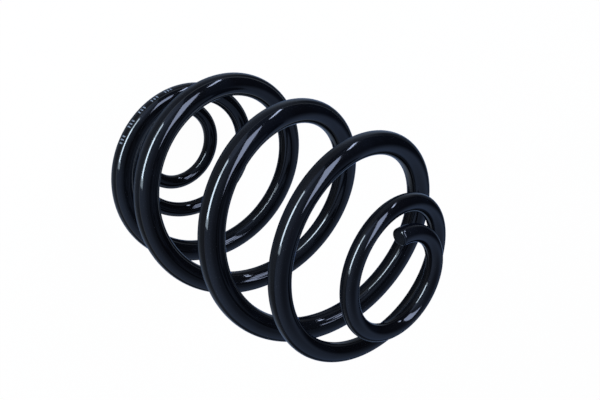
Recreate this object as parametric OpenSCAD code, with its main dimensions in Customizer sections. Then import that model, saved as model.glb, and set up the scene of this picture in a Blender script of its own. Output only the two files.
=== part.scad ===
// Barrel suspension spring: one tapered steel wire wound right handed.
// It stands on its lower end coil. Origin on the coil axis, at the underside of that coil.
// Units are millimetres, +Z up along the coil axis. Turns are counted from the lower tip.

/* [Overall size] */
// Outside diameter across the widest middle coil
body_od = 150; // [135:1:165]
// Free length, from the underside of the lower end coil to the top of the upper one
free_length = 250; // [236:1:266]
// Turns of wire from the lower tip to the upper tip
turns = 7; // [6.75:0.05:7.25]
// How much wider the middle coil is than the body where it starts to close in
body_swell = 6.5; // [4:0.5:9]

/* [Wire] */
// Wire diameter in the middle coils
wire_mid = 15.4; // [14.4:0.1:16.4]
// Wire diameter at both tips
wire_end = 10.4; // [9.5:0.1:11.3]
// Turns over which the wire thickens from the upper tip
upper_wire_turns = 2.45; // [2.2:0.05:2.7]
// Turns over which the wire thickens from the lower tip
lower_wire_turns = 2.55; // [2.3:0.05:2.8]
// How late the thickening sets in, where 1 is an even S curve
wire_ease = 2.7; // [2.4:0.1:3]
// Width of the small bevel round each cut tip
tip_bevel = 0.6; // [0.3:0.1:1]

/* [Upper end coil] */
// Outside diameter that the upper end coil would have without its tucked tip
upper_od = 76; // [72:1:80]
// How far the upper tip is tucked in towards the axis
upper_tuck = 6.5; // [5:0.5:8]
// Turns over which the upper tip is tucked in
upper_tuck_turns = 0.65; // [0.55:0.05:0.75]
// Turns over which the coil widens from the upper tip to the body
upper_close_turns = 2; // [1.8:0.05:2.2]
// How late the widening sets in, where 1 is an even S curve
upper_ease = 1.9; // [1.7:0.1:2.1]
// Turns that lie flat at the upper tip
upper_seat_turns = 0.4; // [0.3:0.05:0.5]
// Turns from the upper tip to where the body pitch starts to open
upper_open_turns = 1.45; // [1.25:0.05:1.65]
// Turns over which the pitch opens fully below the upper end
upper_opening_turns = 1.35; // [1.15:0.05:1.55]

/* [Lower end coil] */
// Outside diameter that the lower end coil would have without its tucked tip
lower_od = 84; // [80:1:88]
// How far the lower tip is tucked in towards the axis
lower_tuck = 15.5; // [13.5:0.5:17.5]
// Turns over which the lower tip is tucked in
lower_tuck_turns = 1.3; // [1.15:0.05:1.45]
// Turns over which the coil widens from the lower tip to the body
lower_close_turns = 2.6; // [2.4:0.05:2.8]
// How late the widening sets in, where 1 is an even S curve
lower_ease = 2.5; // [2.2:0.1:2.8]
// Turns that lie flat at the lower tip
lower_seat_turns = 0.4; // [0.3:0.05:0.5]
// Turns from the lower tip to where the body pitch starts to open
lower_open_turns = 1.8; // [1.6:0.05:2]
// Turns over which the pitch opens fully above the lower end
lower_opening_turns = 1.95; // [1.75:0.05:2.15]

/* [Pitch] */
// Turns over which the flat seat runs into the closing pitch
seat_ramp_turns = 0.6; // [0.5:0.05:0.7]
// Rise per turn where the coils close in, between a seat and the body
closing_pitch = 23; // [20.5:0.5:25.5]

/* [Hidden] */

// Facets round the wire, and stations along each turn of it
sides = 20;
per_turn = 40;
steps = round(turns * per_turn);
step = turns / steps;

// Wire radii, and centreline radii of the middle coil, the body's ends and the two end coils
r_mid = wire_mid / 2;
r_end = wire_end / 2;
c_mid = body_od / 2 - r_mid;
c_body = c_mid - body_swell / 2;
c_upper = upper_od / 2 - r_end;
c_lower = lower_od / 2 - r_end;

// Centreline rise from tip to tip
rise_all = free_length - wire_end;

// Smooth step from 0 to 1
function clip(x) = max(0, min(1, x));
function ease(x) = let (c = clip(x)) c * c * (3 - 2 * c);

// Radius of the wire itself at s turns from the lower tip
function wire_r(s) = r_mid - (r_mid - r_end) *
    (2 - ease(pow(clip((turns - s) / upper_wire_turns), wire_ease))
    - ease(pow(clip(s / lower_wire_turns), wire_ease)));

// Share by which each end is closed in: 1 at its tip and 0 in the body
function upper_shut(s) = 1 - ease(pow(clip((turns - s) / upper_close_turns), upper_ease));
function lower_shut(s) = 1 - ease(pow(clip(s / lower_close_turns), lower_ease));

// Centreline radius of the coil
function swell(s) = body_swell / 2 * (1 - pow(2 * s / turns - 1, 2));
function tuck(s) = lower_tuck * (1 - ease(s / lower_tuck_turns))
    + upper_tuck * (1 - ease((turns - s) / upper_tuck_turns));
function coil_r(s) = c_body + swell(s) - (c_body - c_upper) * upper_shut(s)
    - (c_body - c_lower) * lower_shut(s) - tuck(s);

// Weight of the closing pitch and of the body pitch: both are 0 on the flat seats
function climb(s) = ease((s - lower_seat_turns) / seat_ramp_turns) *
    ease((turns - s - upper_seat_turns) / seat_ramp_turns);
function body(s) = ease((s - lower_open_turns) / lower_opening_turns) *
    ease((turns - s - upper_open_turns) / upper_opening_turns);
function close_share(s) = climb(s) * (1 - body(s));
function body_share(s) = climb(s) * body(s);

// Both weights summed up the wire by the trapezoid rule
function sum_up(v) = [for (i = 0, a = 0; i <= steps; i = i + 1,
    a = i <= steps ? a + (v[i - 1] + v[i]) / 2 * step : a) a];
close_sum = sum_up([for (i = [0:steps]) close_share(i * step)]);
body_sum = sum_up([for (i = [0:steps]) body_share(i * step)]);

// The body pitch is what brings the whole rise to the free length
body_pitch = (rise_all - closing_pitch * close_sum[steps]) / body_sum[steps];
rises = closing_pitch * close_sum + body_pitch * body_sum;

// Rise at s turns, read off between two stations
function rise(s) = let (x = s / step, i = min(steps - 1, floor(x)))
    rises[i] + (x - i) * (rises[i + 1] - rises[i]);

// The seats are flat on their outer side, so the centreline follows the thickening wire
function seat_lift(s) = (1 - 2 * ease((s - 1) / (turns - 2))) * (wire_r(s) - r_end);
function coil_z(s) = r_end + rise(s) + seat_lift(s);

// Slopes per turn, for the direction of the wire
h = 0.0005;
function slope_r(s) = (coil_r(min(turns, s + h)) - coil_r(max(0, s - h))) /
    (min(turns, s + h) - max(0, s - h));
function slope_lift(s) = (seat_lift(s + h) - seat_lift(s - h)) / (2 * h);
function slope_z(s) = closing_pitch * close_share(s) + body_pitch * body_share(s) + slope_lift(s);

function unit(v) = v / norm(v);

// One ring of points round the wire at s turns, with radius r
function ring(s, r) = let (
    a = 360 * s,
    out = [cos(a), sin(a), 0],
    round_way = [-sin(a), cos(a), 0],
    centre = coil_r(s) * out + [0, 0, coil_z(s)],
    along = unit(slope_r(s) * out + 2 * PI * coil_r(s) * round_way + [0, 0, slope_z(s)]),
    n = unit(out - (out * along) * along),
    b = cross(along, n))
    [for (k = [0:sides - 1]) centre + r * (cos(360 * k / sides) * n + sin(360 * k / sides) * b)];

// Stations: the two cut faces, their bevels, and the even steps between
lower_bevel = tip_bevel / (2 * PI * coil_r(0));
upper_bevel = tip_bevel / (2 * PI * coil_r(turns));
stations = concat(
    [[0, wire_r(0) - tip_bevel], [lower_bevel, wire_r(lower_bevel)]],
    [for (i = [1:steps - 1]) [i * step, wire_r(i * step)]],
    [[turns - upper_bevel, wire_r(turns - upper_bevel)], [turns, wire_r(turns) - tip_bevel]]);
count = len(stations);

// The whole wire as one closed skin
module spring() {
    points = [for (p = stations) each ring(p[0], p[1])];
    skin = [for (i = [0:count - 2], k = [0:sides - 1])
        [i * sides + k, (i + 1) * sides + k,
        (i + 1) * sides + (k + 1) % sides, i * sides + (k + 1) % sides]];
    lower_cut = [for (k = [0:sides - 1]) k];
    upper_cut = [for (k = [0:sides - 1]) count * sides - 1 - k];
    color([0.06, 0.065, 0.08])
    polyhedron(points = points, faces = concat([lower_cut], skin, [upper_cut]), convexity = 12);
}

spring();
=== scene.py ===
"""Dress a barrel-shaped suspension spring: one tapered wire, gloss black coat.

The wire is wound again, finer than the CAD solid, from the same values, and
takes the solid's place. The second operator sets the floor, the soft lamps
and the camera.
"""
import math

import bmesh
import bpy
from bpy.props import FloatProperty, FloatVectorProperty, IntProperty, PointerProperty
from mathutils import Euler, Matrix, Vector


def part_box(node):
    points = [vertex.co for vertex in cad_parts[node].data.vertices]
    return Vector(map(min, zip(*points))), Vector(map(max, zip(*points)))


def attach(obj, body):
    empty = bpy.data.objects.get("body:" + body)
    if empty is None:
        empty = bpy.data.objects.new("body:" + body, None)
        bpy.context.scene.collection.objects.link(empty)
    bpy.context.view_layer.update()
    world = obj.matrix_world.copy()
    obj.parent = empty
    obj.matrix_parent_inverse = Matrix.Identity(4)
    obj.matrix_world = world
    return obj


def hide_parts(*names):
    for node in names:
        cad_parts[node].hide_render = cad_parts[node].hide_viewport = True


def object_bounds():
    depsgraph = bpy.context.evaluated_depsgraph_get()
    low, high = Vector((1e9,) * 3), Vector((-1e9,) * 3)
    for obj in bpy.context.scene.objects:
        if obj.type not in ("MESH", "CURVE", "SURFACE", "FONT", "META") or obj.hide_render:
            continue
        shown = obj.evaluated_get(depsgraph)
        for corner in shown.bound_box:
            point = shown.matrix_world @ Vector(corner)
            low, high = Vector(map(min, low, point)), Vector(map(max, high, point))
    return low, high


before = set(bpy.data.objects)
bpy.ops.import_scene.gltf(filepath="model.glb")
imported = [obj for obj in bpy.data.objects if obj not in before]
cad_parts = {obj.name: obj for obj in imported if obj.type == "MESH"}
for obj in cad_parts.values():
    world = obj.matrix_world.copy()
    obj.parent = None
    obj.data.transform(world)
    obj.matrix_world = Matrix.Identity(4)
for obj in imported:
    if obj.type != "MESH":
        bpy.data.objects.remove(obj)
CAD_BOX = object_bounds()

bl_info = {
    "name": "Suspension spring",
    "version": (1, 0, 0),
    "blender": (4, 5, 0),
    "location": "3D View > Sidebar > Spring",
    "description": "Winds a barrel suspension spring from tapered wire and sets its studio",
    "category": "Add Mesh",
}

SPRING_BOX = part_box("spring")
SPRING_LENGTH = SPRING_BOX[1][2] - SPRING_BOX[0][2]

# Turns at each tip in which the thickening wire keeps its outer side level with the flat seat
SEATED_TURNS = 1.0
# Turns to each side of a ring between which the coil's widening is read
SLOPE_STEP = 0.0005
# Rings nearer to a cut than this many times its rounding are left out
TIP_ROOM = 1.6
# Faces across the rounded edge of a cut
CUT_ROUND_FACES = 6
# Insets of each cut face, one inside the other, in metres
CUT_INSETS = (0.00025, 0.0012, 0.0012)
# Points this many wire radii from a cut's middle, or nearer, belong to the cut
CUT_REACH = 1.02
# Attribute that holds each point's turn and its place across the wire, in wire radii
WIRE_PLACE = "wire_place"

# Patterns in the coat: waves per metre, octaves of finer waves, and how strong those are
DRIFT = (34.0, 3.0, 0.5)
FLOW = (75.0, 4.0, 0.55)
DUST = (950.0, 2.0, 0.6)
WEAR = (1400.0, 2.0, 0.6)
PEEL = (620.0, 2.0, 0.5)
WAVER = (70.0, 1.0, 0.4)
# The shear lines get their waves per metre from a stretch: in X, in Y and, finer, in Z
SHEAR = (1.0, 3.0, 0.6)
SHEAR_WAVES = (260.0, 260.0, 2600.0)
# Span of each pattern's height, from 0 to 1, over which its effect sets in
DRIFT_SPAN = (0.35, 0.70)
FLOW_SPAN = (0.30, 0.72)
DUST_SPAN = (0.70, 0.80)
WEAR_SPAN = (0.30, 0.55)
# How much of the dust's colour and of the worn ink shows
DUST_SHARE = 0.12
WORN_INK = 0.45
# Roughness that the ink and the cut faces add
INK_ROUGHNESS = 0.30
CUT_ROUGHNESS = 0.12
# Relief of the shear lines and the ink in metres, and of the waver against the orange peel
SHEAR_DEPTH = 0.00006
INK_DEPTH = 0.00001
WAVER_SHARE = 4.0
# Wire radii from the wire's middle over which a cut face goes over into the coated side
CUT_FACE_EDGE = (0.86, 0.93)

# Marking bars: where a bar stands in its beat and how soft its edges are there
BAR_SPAN = (0.16, 0.56)
BAR_SOFT = 0.06
# Where the bars of a group stop, as shares of the group's own beat
GROUP_END = (0.60, 0.61)
# Softness of the whole marking's two ends, in turns
MARKING_SOFT = 0.0002
# Where a bar fades out, as shares of its height from its middle
BAR_FADE = (0.40, 0.60)

# Specular level of the wire's sides at each tilt, from 0, seen face on, to 1, seen edge on
SIDE_GLOSS = ((0.0, 0.5), (0.06, 0.42), (0.12, 0.16), (0.20, 0.09), (0.35, 0.055), (0.45, 0.075),
              (0.55, 0.115), (0.65, 0.10), (0.75, 0.06), (0.84, 0.018), (0.92, 0.004), (1.0, 0.001))
# Tilts over which the outline's tint, the upper side's own gloss and the face's gloss change
EDGE_TINT_TILTS = (0.74, 0.94)
TOP_GLOSS_TILTS = (0.42, 0.56)
FACE_ON_TILTS = (0.05, 0.13)
# Rises, the upward part of the surface's direction, at which one side goes over into the next
UNDERSIDE_RISES = (-0.35, 0.12)
UPPER_SIDE_RISES = (0.25, 0.45)
FACE_ON_RISES = (0.22, 0.36)
# Rises times nearness to face on, over which the mirror image leaves the floor for the studio
STUDIO_LIFTS = (0.31, 0.41)

# Soft boxes as seen from the middle of the spring, in degrees: bearing from +X, elevation,
# width, height and how far it leans clockwise
SIDE_BOX = (-28.0, 55.0, 19.0, 48.0, 17.0)
FRONT_BOX = (52.0, 9.8, 33.0, 11.0, 0.0)
FRONT_TAIL = (71.5, 12.0, 8.0, 20.0, 0.0)
FRONT_WING = (28.5, 9.5, 14.0, 10.5, 0.0)
FRONT_END = (9.0, 13.0, 28.0, 32.0, 0.0)
STRIP = (-39.0, 13.0, 4.5, 22.0, -10.0)
# Brightness of the front box's fainter parts, as shares of the main part's
FRONT_TAIL_SHARE = 0.22
FRONT_WING_SHARE = 0.62
FRONT_END_SHARE = 0.013

# The surround's palest way, and how nearly a way has to point there to leave the dark side
PALEST_WAY = Vector((-0.47, 0.88, -0.05)).normalized()
DARK_SIDE_END = (-0.65, -0.25)
SPOT_SHARPNESS = 4.0
# Heights, as the upward part of a way, over which the surround dims overhead, and what is left
OVERHEAD = (0.60, 1.0)
OVERHEAD_SHARE = 0.25

FLOOR_SIDES = 96
# The floor lies this far under the spring, in metres, so that the two never share a plane
FLOOR_GAP = 0.0001
# Camera sensor in millimetres, and the nearest and farthest that it sees in metres
SENSOR_WIDTH = 36.0
CLIP_NEAR = 0.01
CLIP_FAR = 100.0


# Sizes and colours


class CoilSettings(bpy.types.PropertyGroup):
    """Sizes of the wound wire, the same as in the CAD source."""

    body_od: FloatProperty(
        name="Body outside diameter",
        description="Widest diameter of the coil, over the wire",
        default=0.150, min=0.135, max=0.165, unit="LENGTH", subtype="DISTANCE")
    free_length: FloatProperty(
        name="Free length",
        description="Height of the unloaded spring",
        default=SPRING_LENGTH, min=0.236, max=0.266, unit="LENGTH", subtype="DISTANCE")
    turns: FloatProperty(
        name="Turns",
        description="Turns of wire from the lower tip to the upper tip",
        default=7.0, min=6.75, max=7.25)
    body_swell: FloatProperty(
        name="Body swell",
        description="How much wider the middle coils are than the straight run of the body",
        default=0.0065, min=0.004, max=0.009, unit="LENGTH", subtype="DISTANCE")
    wire_mid: FloatProperty(
        name="Wire diameter, middle",
        description="Thickest wire, in the middle coils",
        default=0.0154, min=0.0144, max=0.0164, unit="LENGTH", subtype="DISTANCE")
    wire_end: FloatProperty(
        name="Wire diameter, ends",
        description="Thinnest wire, at both tips",
        default=0.0104, min=0.0095, max=0.0113, unit="LENGTH", subtype="DISTANCE")
    upper_wire_turns: FloatProperty(
        name="Upper wire taper",
        description="Turns over which the wire thins towards the upper tip",
        default=2.45, min=2.0, max=4.0)
    lower_wire_turns: FloatProperty(
        name="Lower wire taper",
        description="Turns over which the wire thins towards the lower tip",
        default=2.55, min=2.0, max=4.0)
    wire_ease: FloatProperty(
        name="Wire taper curve",
        description="How late the wire starts to thicken from each tip",
        default=2.7, min=1.0, max=4.0)
    upper_od: FloatProperty(
        name="Upper end diameter",
        description="Outside diameter of the closed upper end coil, before its tip is tucked in",
        default=0.076, min=0.066, max=0.086, unit="LENGTH", subtype="DISTANCE")
    upper_tuck: FloatProperty(
        name="Upper tip tuck",
        description="How far the upper tip is tucked in towards the axis",
        default=0.0065, min=0.002, max=0.012, unit="LENGTH", subtype="DISTANCE")
    upper_tuck_turns: FloatProperty(
        name="Upper tuck turns",
        description="Turns over which the upper tip is tucked in",
        default=0.65, min=0.4, max=1.2)
    upper_close_turns: FloatProperty(
        name="Upper closing turns",
        description="Turns over which the coil closes in towards the upper end",
        default=2.0, min=1.5, max=3.0)
    upper_ease: FloatProperty(
        name="Upper closing curve",
        description="How late the coil closes in at the upper end",
        default=1.9, min=1.0, max=3.0)
    upper_seat_turns: FloatProperty(
        name="Upper seat turns",
        description="Turns that lie flat at the upper end",
        default=0.4, min=0.2, max=0.8)
    upper_open_turns: FloatProperty(
        name="Upper closed pitch",
        description="Turns from the upper tip before the pitch opens",
        default=1.45, min=1.0, max=2.0)
    upper_opening_turns: FloatProperty(
        name="Upper pitch opening",
        description="Turns over which the pitch opens below the upper end",
        default=1.35, min=1.0, max=2.5)
    lower_od: FloatProperty(
        name="Lower end diameter",
        description="Outside diameter of the closed lower end coil, before its tip is tucked in",
        default=0.084, min=0.07, max=0.1, unit="LENGTH", subtype="DISTANCE")
    lower_tuck: FloatProperty(
        name="Lower tip tuck",
        description="How far the lower tip is tucked in towards the axis",
        default=0.0155, min=0.005, max=0.02, unit="LENGTH", subtype="DISTANCE")
    lower_tuck_turns: FloatProperty(
        name="Lower tuck turns",
        description="Turns over which the lower tip is tucked in",
        default=1.3, min=0.8, max=1.8)
    lower_close_turns: FloatProperty(
        name="Lower closing turns",
        description="Turns over which the coil closes in towards the lower end",
        default=2.6, min=1.5, max=3.0)
    lower_ease: FloatProperty(
        name="Lower closing curve",
        description="How late the coil closes in at the lower end",
        default=2.5, min=1.0, max=3.0)
    lower_seat_turns: FloatProperty(
        name="Lower seat turns",
        description="Turns that lie flat at the lower end",
        default=0.4, min=0.2, max=0.8)
    lower_open_turns: FloatProperty(
        name="Lower closed pitch",
        description="Turns from the lower tip before the pitch opens",
        default=1.8, min=1.0, max=2.5)
    lower_opening_turns: FloatProperty(
        name="Lower pitch opening",
        description="Turns over which the pitch opens above the lower end",
        default=1.95, min=1.0, max=2.5)
    seat_ramp_turns: FloatProperty(
        name="Seat ramp",
        description="Turns over which the wire starts to climb off each flat seat",
        default=0.6, min=0.3, max=1.0)
    closing_pitch: FloatProperty(
        name="Closing pitch",
        description="Climb for each turn in the closed end coils",
        default=0.023, min=0.0205, max=0.0255, unit="LENGTH", subtype="DISTANCE")
    cut_round: FloatProperty(
        name="Cut end rounding",
        description="Radius of the rounded edge of each cut end",
        default=0.0014, min=0.0006, max=0.002, unit="LENGTH", subtype="DISTANCE")
    wire_sides: IntProperty(
        name="Sides round the wire",
        description="Faces round the wire",
        default=48, min=24, max=64)
    rings_per_turn: IntProperty(
        name="Rings in a turn",
        description="Rings of the wire in one turn of the coil",
        default=144, min=60, max=200)


class CoatSettings(bpy.types.PropertyGroup):
    """Gloss black coat on the wire and the plain marking bars on one coil."""

    coat_colour: FloatVectorProperty(
        name="Coat colour",
        description="Blue-black of the coat",
        default=(0.0024, 0.0023, 0.0028), size=3, min=0.0, max=1.0, subtype="COLOR")
    coat_light: FloatVectorProperty(
        name="Coat colour, lighter",
        description="Lighter blue-black where the coat lies thicker",
        default=(0.0038, 0.0042, 0.0056), size=3, min=0.0, max=1.0, subtype="COLOR")
    gloss_low: FloatProperty(
        name="Roughness, glossiest",
        description="Roughness where the coat flowed out best",
        default=0.055, min=0.0, max=1.0, subtype="FACTOR")
    gloss_high: FloatProperty(
        name="Roughness, dullest",
        description="Roughness where the coat is least smooth",
        default=0.11, min=0.0, max=1.0, subtype="FACTOR")
    coat_ior: FloatProperty(
        name="Coat index of refraction",
        description="Index of refraction of the cured coat",
        default=1.45, min=1.3, max=1.8)
    coat_tint: FloatVectorProperty(
        name="Gloss tint",
        description="Cool tint of what the coat mirrors, stronger towards its edges",
        default=(0.83, 0.90, 1.0), size=3, min=0.0, max=1.0, subtype="COLOR")
    edge_tint: FloatVectorProperty(
        name="Gloss tint, outline",
        description="Paler tint right at the outline",
        default=(0.93, 0.96, 1.0), size=3, min=0.0, max=1.0, subtype="COLOR")
    face_gloss: FloatProperty(
        name="Gloss, face on",
        description="Specular level where the coat is seen face on or mirrors what is above the floor",
        default=0.5, min=0.0, max=1.0, subtype="FACTOR")
    top_gloss: FloatProperty(
        name="Gloss, upper side",
        description="Least specular level of the upper side, up to where it tilts away",
        default=0.045, min=0.0, max=1.0, subtype="FACTOR")
    top_edge_gloss: FloatProperty(
        name="Gloss, upper edges",
        description="Specular level of the upper edges, which would mirror the far floor",
        default=0.006, min=0.0, max=1.0, subtype="FACTOR")
    under_gloss: FloatProperty(
        name="Gloss, underside",
        description="Share of the side gloss that is left on the underside of the wire",
        default=0.15, min=0.0, max=1.0, subtype="FACTOR")
    peel_depth: FloatProperty(
        name="Orange peel",
        description="Depth of the fine waves in the coat",
        default=0.000004, min=0.0, max=0.0002, unit="LENGTH", subtype="DISTANCE")
    bar_colour: FloatVectorProperty(
        name="Marking bar colour",
        description="Pale ink of the plain marking bars",
        default=(0.15, 0.155, 0.165), size=3, min=0.0, max=1.0, subtype="COLOR")
    dust_colour: FloatVectorProperty(
        name="Dust colour",
        description="Faint pale dust on the coat",
        default=(0.030, 0.032, 0.036), size=3, min=0.0, max=1.0, subtype="COLOR")
    bar_turn: FloatProperty(
        name="Marking turn length",
        description="Length of wire in one turn of the coil that carries the bars",
        default=0.440, min=0.3, max=0.6, unit="LENGTH", subtype="DISTANCE")
    bar_pitch: FloatProperty(
        name="Marking bar pitch",
        description="Distance from one bar to the next",
        default=0.0026, min=0.001, max=0.01, unit="LENGTH", subtype="DISTANCE")
    group_pitch: FloatProperty(
        name="Marking group pitch",
        description="Distance from one group of bars to the next",
        default=0.013, min=0.005, max=0.05, unit="LENGTH", subtype="DISTANCE")
    bar_start: FloatProperty(
        name="Marking start",
        description="Turn from the lower tip at which the bars start",
        default=2.022, min=1.0, max=3.0)
    bar_end: FloatProperty(
        name="Marking end",
        description="Turn from the lower tip at which the bars end",
        default=2.158, min=1.0, max=3.0)
    bar_angle: FloatProperty(
        name="Marking angle",
        description="Angle of the bars round the wire, from the outside of the coil",
        default=math.radians(-10.0), min=-math.pi, max=math.pi, unit="ROTATION", subtype="ANGLE")
    bar_height: FloatProperty(
        name="Marking height",
        description="Angle round the wire that each bar takes up",
        default=math.radians(22.0), min=0.0, max=1.0, unit="ROTATION", subtype="ANGLE")


class StageSettings(bpy.types.PropertyGroup):
    """Floor, soft lamps and camera."""

    floor_colour: FloatVectorProperty(
        name="Floor colour",
        description="Plain pale floor",
        default=(0.90, 0.90, 0.90), size=3, min=0.0, max=1.0, subtype="COLOR")
    floor_lift: FloatProperty(
        name="Floor white",
        description="Share of plain white in what the camera and the gloss see of the floor",
        default=0.985, min=0.0, max=1.0, subtype="FACTOR")
    floor_radius: FloatProperty(
        name="Floor radius",
        description="Radius of the floor",
        default=14.0, min=1.0, max=40.0, unit="LENGTH", subtype="DISTANCE")
    surround_dim: FloatProperty(
        name="Surround, dark side",
        description="Brightness of the dark side of the surround",
        default=0.015, min=0.0, max=1.0)
    surround_glow: FloatProperty(
        name="Surround, pale side",
        description="Brightness that all but the dark side of the surround adds",
        default=0.30, min=0.0, max=1.0)
    surround_spot: FloatProperty(
        name="Surround, palest spot",
        description="Brightness that the palest spot of the surround adds",
        default=0.25, min=0.0, max=1.0)
    surround_colour: FloatVectorProperty(
        name="Surround colour",
        description="Cool colour of the surround",
        default=(0.83, 1.0, 1.38), size=3, min=0.0, max=2.0, subtype="COLOR")
    lamp_distance: FloatProperty(
        name="Lamp distance",
        description="Distance of the soft lamps from the middle of the spring",
        default=1.6, min=0.8, max=4.0, unit="LENGTH", subtype="DISTANCE")
    side_box_strength: FloatProperty(
        name="Side box brightness",
        description="Brightness of the tall soft box high at the side",
        default=7.2, min=0.0, max=40.0)
    side_box_colour: FloatVectorProperty(
        name="Side box colour",
        description="Colour of the tall soft box",
        default=(0.93, 1.00, 1.27), size=3, min=0.0, max=2.0, subtype="COLOR")
    front_box_strength: FloatProperty(
        name="Front box brightness",
        description="Brightness of the long low soft box below the camera",
        default=30.0, min=0.0, max=40.0)
    front_box_colour: FloatVectorProperty(
        name="Front box colour",
        description="Colour of the long low soft box",
        default=(0.88, 0.99, 1.02), size=3, min=0.0, max=2.0, subtype="COLOR")
    front_end_colour: FloatVectorProperty(
        name="Front box end colour",
        description="Colour of the faint far end of the long low soft box",
        default=(0.86, 1.00, 1.35), size=3, min=0.0, max=2.0, subtype="COLOR")
    strip_strength: FloatProperty(
        name="Strip brightness",
        description="Brightness of the narrow upright strip",
        default=15.0, min=0.0, max=40.0)
    strip_colour: FloatVectorProperty(
        name="Strip colour",
        description="Colour of the narrow upright strip",
        default=(0.95, 1.00, 1.20), size=3, min=0.0, max=2.0, subtype="COLOR")
    camera_place: FloatVectorProperty(
        name="Camera place",
        description="Where the camera stands",
        default=(0.23813, 0.22338, 0.46486), size=3, unit="LENGTH", subtype="TRANSLATION")
    camera_turn: FloatVectorProperty(
        name="Camera rotation",
        description="How the camera is turned",
        default=(math.radians(-30.2548), math.radians(-45.3297), math.radians(-92.7338)),
        size=3, unit="ROTATION", subtype="EULER")
    camera_lens: FloatProperty(
        name="Camera lens",
        description="Focal length, in millimetres on a sensor 36 mm wide",
        default=42.1108, min=20.0, max=120.0, unit="CAMERA")
    camera_shift_x: FloatProperty(
        name="Camera shift, across",
        description="Lens shift across the frame",
        default=-0.14154, min=-1.0, max=1.0)
    camera_shift_y: FloatProperty(
        name="Camera shift, up",
        description="Lens shift up the frame",
        default=0.02597, min=-1.0, max=1.0)


# The line of the wire


def clip(x):
    """Keep x between 0 and 1."""
    return max(0.0, min(1.0, x))


def ease(x):
    """Smooth step from 0 to 1."""
    c = clip(x)
    return c * c * (3.0 - 2.0 * c)


def wire_radius(coil, s):
    """Radius of the wire s turns from the lower tip."""
    r_mid, r_end = coil.wire_mid / 2.0, coil.wire_end / 2.0
    thin = (2.0 - ease(clip((coil.turns - s) / coil.upper_wire_turns) ** coil.wire_ease)
            - ease(clip(s / coil.lower_wire_turns) ** coil.wire_ease))
    return r_mid - (r_mid - r_end) * thin


def coil_radius(coil, s):
    """Radius of the coil's centre line s turns from the lower tip."""
    r_end = coil.wire_end / 2.0
    body = coil.body_od / 2.0 - coil.wire_mid / 2.0 - coil.body_swell / 2.0
    upper, lower = coil.upper_od / 2.0 - r_end, coil.lower_od / 2.0 - r_end
    upper_shut = 1.0 - ease(clip((coil.turns - s) / coil.upper_close_turns) ** coil.upper_ease)
    lower_shut = 1.0 - ease(clip(s / coil.lower_close_turns) ** coil.lower_ease)
    swell = coil.body_swell / 2.0 * (1.0 - (2.0 * s / coil.turns - 1.0) ** 2)
    tuck = (coil.lower_tuck * (1.0 - ease(s / coil.lower_tuck_turns))
            + coil.upper_tuck * (1.0 - ease((coil.turns - s) / coil.upper_tuck_turns)))
    return body + swell - (body - upper) * upper_shut - (body - lower) * lower_shut - tuck


def climb_shares(coil, s):
    """How much of the closing pitch and of the body pitch the wire has at s."""
    climb = (ease((s - coil.lower_seat_turns) / coil.seat_ramp_turns)
             * ease((coil.turns - s - coil.upper_seat_turns) / coil.seat_ramp_turns))
    body = (ease((s - coil.lower_open_turns) / coil.lower_opening_turns)
            * ease((coil.turns - s - coil.upper_open_turns) / coil.upper_opening_turns))
    return climb * (1.0 - body), climb * body


def wire_heights(coil, stations):
    """Height of the centre line at each station, both ends seated flat."""
    shares = [climb_shares(coil, s) for s in stations]
    sums = [(0.0, 0.0)]
    for (s0, s1), (a, b) in zip(zip(stations, stations[1:]), zip(shares, shares[1:])):
        step = (s1 - s0) / 2.0
        sums.append((sums[-1][0] + step * (a[0] + b[0]), sums[-1][1] + step * (a[1] + b[1])))
    r_end = coil.wire_end / 2.0
    rise_all = coil.free_length - coil.wire_end
    body_pitch = (rise_all - coil.closing_pitch * sums[-1][0]) / sums[-1][1]
    heights = []
    for s, (close_sum, body_sum) in zip(stations, sums):
        side = 1.0 - 2.0 * ease((s - SEATED_TURNS) / (coil.turns - 2.0 * SEATED_TURNS))
        lift = side * (wire_radius(coil, s) - r_end)
        heights.append(r_end + coil.closing_pitch * close_sum + body_pitch * body_sum + lift)
    return heights


def wire_stations(coil):
    """Turns at which the wire gets a ring; the tips keep room for their rounding."""
    count = round(coil.turns * coil.rings_per_turn)
    room = TIP_ROOM * coil.cut_round
    low_room = room / (math.tau * coil_radius(coil, 0.0))
    high_room = room / (math.tau * coil_radius(coil, coil.turns))
    inner = [coil.turns * i / count for i in range(1, count)]
    inner = [s for s in inner if low_room < s < coil.turns - high_room]
    return [0.0, *inner, coil.turns]


def wire_frames(coil, stations):
    """For each station, the matrix that puts a unit circle round the wire there."""
    heights = wire_heights(coil, stations)
    frames = []
    last = len(stations) - 1
    for i, s in enumerate(stations):
        turn = math.tau * s
        out = Vector((math.cos(turn), math.sin(turn), 0.0))
        round_way = Vector((-math.sin(turn), math.cos(turn), 0.0))
        radius = coil_radius(coil, s)
        widen = (coil_radius(coil, s + SLOPE_STEP)
                 - coil_radius(coil, s - SLOPE_STEP)) / (2.0 * SLOPE_STEP)
        before, after = max(0, i - 1), min(last, i + 1)
        climb = (heights[after] - heights[before]) / (stations[after] - stations[before])
        along = (out * widen + round_way * (math.tau * radius)
                 + Vector((0.0, 0.0, climb))).normalized()
        normal = (out - along * out.dot(along)).normalized()
        across = along.cross(normal)
        centre = out * radius + Vector((0.0, 0.0, heights[i]))
        turned = Matrix((normal, across, along)).transposed().to_4x4()
        r = wire_radius(coil, s)
        frames.append(Matrix.Translation(centre) @ turned @ Matrix.Diagonal((r, r, r, 1.0)))
    return frames


# The wire


def mark_ring(layer, verts, place, s):
    """Keep each point's turn and its place across the wire for the material."""
    back = place.inverted()
    for v in verts:
        local = back @ v.co
        v[layer] = Vector((s, local.x, local.y))


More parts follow.
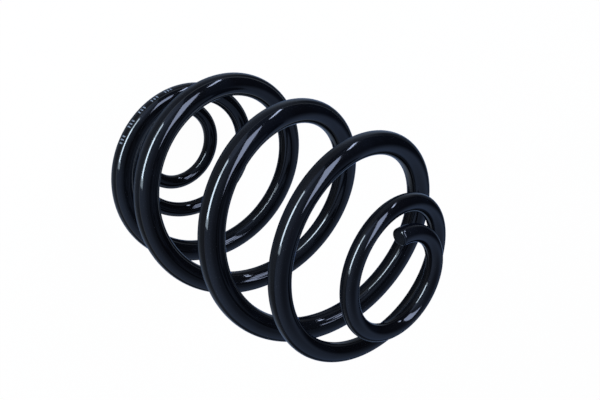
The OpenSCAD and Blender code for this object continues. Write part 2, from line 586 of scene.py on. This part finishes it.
def close_end(bm, layer, coil, edges, place, s):
    """Fill the cut end at s, round its edge and mark its new points."""
    cap = bmesh.ops.edgeloop_fill(bm, edges=edges)["faces"]
    bmesh.ops.bevel(bm, geom=list(cap[0].edges), offset=coil.cut_round, offset_type="OFFSET",
                    affect="EDGES", segments=CUT_ROUND_FACES, profile=0.5, material=-1,
                    clamp_overlap=True)
    cap_faces = [f for f in bm.faces if len(f.verts) == coil.wire_sides]
    cap_face = min(cap_faces, key=lambda f: (f.calc_center_median() - place.translation).length)
    for depth in CUT_INSETS:
        bmesh.ops.inset_region(bm, faces=[cap_face], thickness=depth, use_even_offset=True)
    bmesh.ops.poke(bm, faces=[cap_face])
    reach = CUT_REACH * wire_radius(coil, s)
    near = [v for v in bm.verts if (v.co - place.translation).length < reach]
    mark_ring(layer, near, place, s)


def wind_wire(coil):
    """Sweep a circle along the coil, ring by ring, and close and round its ends."""
    stations = wire_stations(coil)
    places = wire_frames(coil, stations)
    bm = bmesh.new()
    layer = bm.verts.layers.float_vector.new(WIRE_PLACE)

    first = bmesh.ops.create_circle(bm, cap_ends=False, segments=coil.wire_sides,
                                    radius=1.0, matrix=places[0])["verts"]
    mark_ring(layer, first, places[0], stations[0])
    first_edges = bm.edges[:]
    ring_edges = first_edges
    for i in range(1, len(stations)):
        geom = bmesh.ops.extrude_edge_only(bm, edges=ring_edges)["geom"]
        ring = [g for g in geom if isinstance(g, bmesh.types.BMVert)]
        ring_set = set(ring)
        ring_edges = [g for g in geom if isinstance(g, bmesh.types.BMEdge)
                      and g.verts[0] in ring_set and g.verts[1] in ring_set]
        bmesh.ops.transform(bm, matrix=places[i] @ places[i - 1].inverted(), verts=ring)
        mark_ring(layer, ring, places[i], stations[i])

    close_end(bm, layer, coil, first_edges, places[0], stations[0])
    close_end(bm, layer, coil, ring_edges, places[-1], stations[-1])

    bmesh.ops.recalc_face_normals(bm, faces=bm.faces[:])
    for f in bm.faces:
        f.smooth = True
    mesh = bpy.data.meshes.new("spring_wire")
    bm.to_mesh(mesh)
    bm.free()
    return mesh


# The coat


class NodeBoard:
    """Adds and links the nodes of one material or of the surround."""

    def __init__(self, tree):
        self.tree = tree
        tree.nodes.clear()

    def add(self, kind, **settings):
        node = self.tree.nodes.new(kind)
        for name, value in settings.items():
            setattr(node, name, value)
        return node

    def link(self, out, into):
        self.tree.links.new(out, into)

    def feed(self, socket, value):
        """Link a socket to another node's output, or give it a plain value."""
        if isinstance(value, bpy.types.NodeSocket):
            self.link(value, socket)
        else:
            socket.default_value = value

    def maths(self, operation, a, b=None):
        node = self.add("ShaderNodeMath", operation=operation)
        self.feed(node.inputs[0], a)
        if b is not None:
            self.feed(node.inputs[1], b)
        return node.outputs[0]

    def parts(self, vector):
        """The three parts of a vector, each as an output of its own."""
        node = self.add("ShaderNodeSeparateXYZ")
        self.link(vector, node.inputs[0])
        return node.outputs

    def step(self, value, low, high, start=0.0, end=1.0):
        """Go smoothly from start to end while value goes from low to high."""
        node = self.add("ShaderNodeMapRange", interpolation_type="SMOOTHSTEP")
        self.feed(node.inputs["Value"], value)
        node.inputs["From Min"].default_value = low
        node.inputs["From Max"].default_value = high
        node.inputs["To Min"].default_value = start
        node.inputs["To Max"].default_value = end
        return node.outputs["Result"]

    def window(self, value, low, high, soft):
        """1 from low to high and 0 outside, with each edge soft by that much to both sides."""
        opened = self.step(value, low - soft, low + soft)
        left = self.step(value, high - soft, high + soft, 1.0, 0.0)
        return self.maths("MULTIPLY", opened, left)

    def curve(self, value, points):
        """Read value off a line drawn through points of place and height."""
        node = self.add("ShaderNodeValToRGB")
        marks = node.color_ramp.elements
        while len(marks) < len(points):
            marks.new(0.5)
        for mark, (place, height) in zip(marks, points):
            mark.position = place
            mark.color = (height, height, height, 1.0)
        self.feed(node.inputs[0], value)
        return node.outputs[0]

    def noise(self, vector, waves, detail, roughness):
        node = self.add("ShaderNodeTexNoise", noise_dimensions="3D")
        self.feed(node.inputs["Vector"], vector)
        node.inputs["Scale"].default_value = waves
        node.inputs["Detail"].default_value = detail
        node.inputs["Roughness"].default_value = roughness
        return node.outputs[0]

    def mix_colour(self, share, a, b):
        """Mix two colours; the node keeps its colour sockets at 6, 7 and, going out, 2."""
        node = self.add("ShaderNodeMix", data_type="RGBA")
        self.feed(node.inputs["Factor"], share)
        self.feed(node.inputs[6], a)
        self.feed(node.inputs[7], b)
        return node.outputs[2]


def marking_bars(board, coat, where, place):
    """Plain pale bars in short groups along one coil, their ink a little worn."""
    turn, side_x, side_y = board.parts(place)
    angle = board.maths("ARCTAN2", side_y, side_x)
    off = board.maths("ABSOLUTE", board.maths("SUBTRACT", angle, coat.bar_angle))
    low, high = (share * coat.bar_height for share in BAR_FADE)
    ink = board.step(off, low, high, 1.0, 0.0)

    length = board.maths("MULTIPLY", board.maths("SUBTRACT", turn, coat.bar_start), coat.bar_turn)
    beat = board.maths("FRACT", board.maths("DIVIDE", length, coat.bar_pitch))
    group_beat = board.maths("FRACT", board.maths("DIVIDE", length, coat.group_pitch))
    for share in (board.window(beat, *BAR_SPAN, BAR_SOFT),
                  board.step(group_beat, *GROUP_END, 1.0, 0.0),
                  board.window(turn, coat.bar_start, coat.bar_end, MARKING_SOFT),
                  board.step(board.noise(where, *WEAR), *WEAR_SPAN, WORN_INK, 1.0)):
        ink = board.maths("MULTIPLY", ink, share)
    return ink


def cut_faces(board, place):
    """1 on the faces of the two cuts and 0 on the rest of the wire."""
    _, side_x, side_y = board.parts(place)
    squares = board.maths("ADD", board.maths("POWER", side_x, 2.0), board.maths("POWER", side_y, 2.0))
    return board.step(board.maths("SQRT", squares), *CUT_FACE_EDGE, 1.0, 0.0)


def coat_colour(board, coat, where, ink):
    """Blue-black with slow drifts of the coat's thickness, faint pale dust and the pale bars."""
    drift = board.step(board.noise(where, *DRIFT), *DRIFT_SPAN)
    body = board.mix_colour(drift, (*coat.coat_colour, 1.0), (*coat.coat_light, 1.0))
    dust = board.step(board.noise(where, *DUST), *DUST_SPAN, 0.0, DUST_SHARE)
    body = board.mix_colour(dust, body, (*coat.dust_colour, 1.0))
    return board.mix_colour(ink, body, (*coat.bar_colour, 1.0))


def coat_roughness(board, coat, where, ink, cut_face):
    """Patches where the coat flowed out better or worse, and the duller ink and cut faces."""
    rough = board.step(board.noise(where, *FLOW), *FLOW_SPAN, coat.gloss_low, coat.gloss_high)
    rough = board.maths("ADD", rough, board.maths("MULTIPLY", ink, INK_ROUGHNESS))
    return board.maths("ADD", rough, board.maths("MULTIPLY", cut_face, CUT_ROUGHNESS))


def coat_gloss(board, coat, tilt, rise):
    """Specular level, lower where the coat would mirror a white floor, so that it stays black."""
    under = board.step(rise, *UNDERSIDE_RISES, coat.under_gloss, 1.0)
    side = board.maths("MULTIPLY", board.curve(tilt, SIDE_GLOSS), under)

    # the upper side mirrors the studio above the floor once it faces up and towards the eye enough
    lift = board.maths("MULTIPLY", board.maths("SUBTRACT", 1.0, tilt), rise)
    top = board.maths("MAXIMUM",
                      board.step(lift, *STUDIO_LIFTS, coat.top_edge_gloss, coat.face_gloss),
                      board.step(tilt, *TOP_GLOSS_TILTS, coat.top_gloss, 0.0))

    blend = board.step(rise, *UPPER_SIDE_RISES)
    level = board.maths("ADD", board.maths("MULTIPLY", side, board.maths("SUBTRACT", 1.0, blend)),
                        board.maths("MULTIPLY", top, blend))
    face = board.maths("MULTIPLY", board.step(tilt, *FACE_ON_TILTS, coat.face_gloss, 0.0),
                       board.step(rise, *FACE_ON_RISES))
    return board.maths("MAXIMUM", level, face)


def coat_relief(board, coat, where, ink, cut_face):
    """Orange peel, slow waver of the drawn wire, shear lines on the cut faces, raised ink."""
    shear_place = board.add("ShaderNodeMapping")
    shear_place.inputs["Scale"].default_value = SHEAR_WAVES
    board.link(where, shear_place.inputs["Vector"])
    shear = board.maths("MULTIPLY", board.noise(shear_place.outputs[0], *SHEAR), cut_face)

    height = board.maths("MULTIPLY", board.noise(where, *PEEL), coat.peel_depth)
    for pattern, depth in ((board.noise(where, *WAVER), WAVER_SHARE * coat.peel_depth),
                           (shear, SHEAR_DEPTH), (ink, INK_DEPTH)):
        height = board.maths("ADD", height, board.maths("MULTIPLY", pattern, depth))
    bump = board.add("ShaderNodeBump")
    bump.inputs["Strength"].default_value = 1.0
    bump.inputs["Distance"].default_value = 1.0
    board.link(height, bump.inputs["Height"])
    return bump.outputs["Normal"]


def coat_material(coat):
    """Gloss blue-black coat, a little uneven, with plain pale bars on one coil."""
    material = bpy.data.materials.new("gloss_black_coat")
    material.use_nodes = True
    board = NodeBoard(material.node_tree)
    out = board.add("ShaderNodeOutputMaterial")
    shader = board.add("ShaderNodeBsdfPrincipled")
    board.link(shader.outputs["BSDF"], out.inputs["Surface"])

    where = board.add("ShaderNodeTexCoord").outputs["Object"]
    place = board.add("ShaderNodeAttribute", attribute_type="GEOMETRY",
                      attribute_name=WIRE_PLACE).outputs["Vector"]
    tilt = board.add("ShaderNodeLayerWeight").outputs["Facing"]
    rise = board.parts(board.add("ShaderNodeTexCoord").outputs["Normal"])[2]
    ink = marking_bars(board, coat, where, place)
    cut_face = cut_faces(board, place)

    board.link(coat_colour(board, coat, where, ink), shader.inputs["Base Color"])
    board.link(coat_roughness(board, coat, where, ink, cut_face), shader.inputs["Roughness"])
    board.link(coat_gloss(board, coat, tilt, rise), shader.inputs["Specular IOR Level"])
    board.link(coat_relief(board, coat, where, ink, cut_face), shader.inputs["Normal"])
    shader.inputs["IOR"].default_value = coat.coat_ior

    # a layer of index 1 on top mirrors nothing, and tints what the coat under it mirrors
    tint = board.mix_colour(board.step(tilt, *EDGE_TINT_TILTS),
                            (*coat.coat_tint, 1.0), (*coat.edge_tint, 1.0))
    board.link(tint, shader.inputs["Coat Tint"])
    shader.inputs["Coat Weight"].default_value = 1.0
    shader.inputs["Coat IOR"].default_value = 1.0
    return material


# The stage


def pale_floor_material(stage):
    """Plain pale floor that the camera and the gloss see as white, with its shadow kept."""
    material = bpy.data.materials.new("pale_floor")
    material.use_nodes = True
    board = NodeBoard(material.node_tree)
    out = board.add("ShaderNodeOutputMaterial")
    matt = board.add("ShaderNodeBsdfDiffuse")
    matt.inputs["Color"].default_value = (*stage.floor_colour, 1.0)
    white = board.add("ShaderNodeEmission")
    white.inputs["Color"].default_value = (1.0, 1.0, 1.0, 1.0)
    white.inputs["Strength"].default_value = 1.0
    rays = board.add("ShaderNodeLightPath").outputs
    seen = board.maths("MAXIMUM", rays["Is Camera Ray"], rays["Is Glossy Ray"])
    seen = board.maths("MAXIMUM", seen, rays["Is Transmission Ray"])
    mixed = board.add("ShaderNodeMixShader")
    board.link(board.maths("MULTIPLY", seen, stage.floor_lift), mixed.inputs[0])
    board.link(matt.outputs[0], mixed.inputs[1])
    board.link(white.outputs[0], mixed.inputs[2])
    board.link(mixed.outputs[0], out.inputs["Surface"])
    return material


def pale_floor(stage):
    """A round floor just under the spring."""
    bm = bmesh.new()
    bmesh.ops.create_circle(bm, cap_ends=True, segments=FLOOR_SIDES, radius=stage.floor_radius)
    bmesh.ops.translate(bm, vec=(0.0, 0.0, CAD_BOX[0][2] - FLOOR_GAP), verts=bm.verts[:])
    mesh = bpy.data.meshes.new("floor")
    bm.to_mesh(mesh)
    bm.free()
    mesh.materials.append(pale_floor_material(stage))
    return bpy.data.objects.new("floor", mesh)


def soft_box(name, distance, angles, strength, colour):
    """A rectangular lamp round the middle of the spring, placed and sized by its angles."""
    azimuth, elevation, wide, tall, lean = (math.radians(angle) for angle in angles)
    way = Vector((math.cos(elevation) * math.cos(azimuth),
                  math.cos(elevation) * math.sin(azimuth),
                  math.sin(elevation)))
    lamp = bpy.data.lights.new(name, "AREA")
    lamp.shape = "RECTANGLE"
    lamp.size = 2.0 * distance * math.tan(wide / 2.0)
    lamp.size_y = 2.0 * distance * math.tan(tall / 2.0)
    lamp.energy = strength * math.pi * lamp.size * lamp.size_y
    lamp.color = colour
    left = Vector((-math.sin(azimuth), math.cos(azimuth), 0.0))
    turned = Matrix((left, way.cross(left), way)).transposed().to_4x4()
    aim = Vector((0.0, 0.0, (CAD_BOX[0][2] + CAD_BOX[1][2]) / 2.0))
    holder = bpy.data.objects.new(name, lamp)
    holder.matrix_world = (Matrix.Translation(aim + way * distance) @ turned
                           @ Matrix.Rotation(lean, 4, "Z"))
    return holder


def soft_boxes(stage):
    """A tall box high at the side, a long low one in four parts, and an upright strip."""
    front, front_colour = stage.front_box_strength, stage.front_box_colour
    boxes = (
        ("side_soft_box", SIDE_BOX, stage.side_box_strength, stage.side_box_colour),
        ("front_soft_box", FRONT_BOX, front, front_colour),
        ("front_box_tail", FRONT_TAIL, FRONT_TAIL_SHARE * front, front_colour),
        ("front_box_wing", FRONT_WING, FRONT_WING_SHARE * front, front_colour),
        ("front_box_end", FRONT_END, FRONT_END_SHARE * front, stage.front_end_colour),
        ("strip_soft_box", STRIP, stage.strip_strength, stage.strip_colour),
    )
    return [soft_box(name, stage.lamp_distance, angles, strength, colour)
            for name, angles, strength, colour in boxes]


def surround(stage):
    """A dim studio with one dark side, palest in one spot across from it and dimmer overhead."""
    world = bpy.data.worlds.new("dim_studio")
    world.use_nodes = True
    board = NodeBoard(world.node_tree)
    out = board.add("ShaderNodeOutputWorld")
    back = board.add("ShaderNodeBackground")
    way = board.add("ShaderNodeTexCoord").outputs["Generated"]
    nearness = board.add("ShaderNodeVectorMath", operation="DOT_PRODUCT")
    board.link(way, nearness.inputs[0])
    nearness.inputs[1].default_value = PALEST_WAY
    near = nearness.outputs["Value"]
    glow = board.maths("MULTIPLY", board.step(near, *DARK_SIDE_END),
                       board.step(board.parts(way)[2], *OVERHEAD, 1.0, OVERHEAD_SHARE))
    spot = board.maths("POWER", board.maths("MAXIMUM", near, 0.0), SPOT_SHARPNESS)
    strength = board.maths("ADD", board.maths("MULTIPLY", glow, stage.surround_glow),
                           board.maths("MULTIPLY", spot, stage.surround_spot))
    strength = board.maths("ADD", strength, stage.surround_dim)
    back.inputs["Color"].default_value = (*stage.surround_colour, 1.0)
    board.link(strength, back.inputs["Strength"])
    board.link(back.outputs[0], out.inputs["Surface"])
    return world


def studio_camera(stage):
    """The camera, with its lens shifted so that the spring sits where it should in the frame."""
    data = bpy.data.cameras.new("camera")
    data.sensor_fit = "HORIZONTAL"
    data.sensor_width = SENSOR_WIDTH
    data.lens = stage.camera_lens
    data.shift_x, data.shift_y = stage.camera_shift_x, stage.camera_shift_y
    data.clip_start, data.clip_end = CLIP_NEAR, CLIP_FAR
    camera = bpy.data.objects.new("camera", data)
    camera.location = stage.camera_place
    camera.rotation_euler = Euler(stage.camera_turn, "XYZ")
    return camera


# Operators and panel


class SPRING_OT_wind(bpy.types.Operator):
    """Wind the tapered wire of the suspension spring and give it its gloss black coat"""

    bl_idname = "spring.wind"
    bl_label = "Wind spring"
    bl_options = {"REGISTER", "UNDO"}

    def execute(self, context):
        coil, coat = context.scene.spring_coil, context.scene.spring_coat
        mesh = wind_wire(coil)
        if not mesh.polygons:
            raise RuntimeError("the wire came out with no faces")
        mesh.materials.append(coat_material(coat))
        piece = bpy.data.objects.new("spring_wire", mesh)
        context.scene.collection.objects.link(piece)
        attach(piece, "root")
        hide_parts("spring")
        return {"FINISHED"}


class SPRING_OT_stage(bpy.types.Operator):
    """Set the pale floor, the soft studio lamps and the camera"""

    bl_idname = "spring.stage"
    bl_label = "Set stage"
    bl_options = {"REGISTER", "UNDO"}

    def execute(self, context):
        scene, stage = context.scene, context.scene.spring_stage
        floor, camera = pale_floor(stage), studio_camera(stage)
        for thing in (floor, *soft_boxes(stage), camera):
            scene.collection.objects.link(thing)
        scene.world = surround(stage)
        scene.camera = camera
        scene.view_settings.view_transform = "Standard"
        return {"FINISHED"}


class SPRING_PT_sidebar(bpy.types.Panel):
    """Steps and values of the suspension spring"""

    bl_idname = "SPRING_PT_sidebar"
    bl_label = "Suspension spring"
    bl_space_type = "VIEW_3D"
    bl_region_type = "UI"
    bl_category = "Spring"

    def draw(self, context):
        scene = context.scene
        for operator, groups in ((SPRING_OT_wind, (scene.spring_coil, scene.spring_coat)),
                                 (SPRING_OT_stage, (scene.spring_stage,))):
            self.layout.operator(operator.bl_idname)
            column = self.layout.column(align=True)
            for group in groups:
                for name in group.__annotations__:
                    column.prop(group, name)


CLASSES = (CoilSettings, CoatSettings, StageSettings,
           SPRING_OT_wind, SPRING_OT_stage, SPRING_PT_sidebar)


def register():
    for cls in CLASSES:
        bpy.utils.register_class(cls)
    bpy.types.Scene.spring_coil = PointerProperty(
        type=CoilSettings, name="Coil", description="Sizes of the coil")
    bpy.types.Scene.spring_coat = PointerProperty(
        type=CoatSettings, name="Coat", description="Coat of the wire")
    bpy.types.Scene.spring_stage = PointerProperty(
        type=StageSettings, name="Stage", description="Floor, lamps and camera")


def unregister():
    for name in ("spring_stage", "spring_coat", "spring_coil"):
        delattr(bpy.types.Scene, name)
    for cls in reversed(CLASSES):
        bpy.utils.unregister_class(cls)


def main():
    register()
    bpy.ops.spring.wind()
    bpy.ops.spring.stage()


if __name__ == "__main__":
    main()
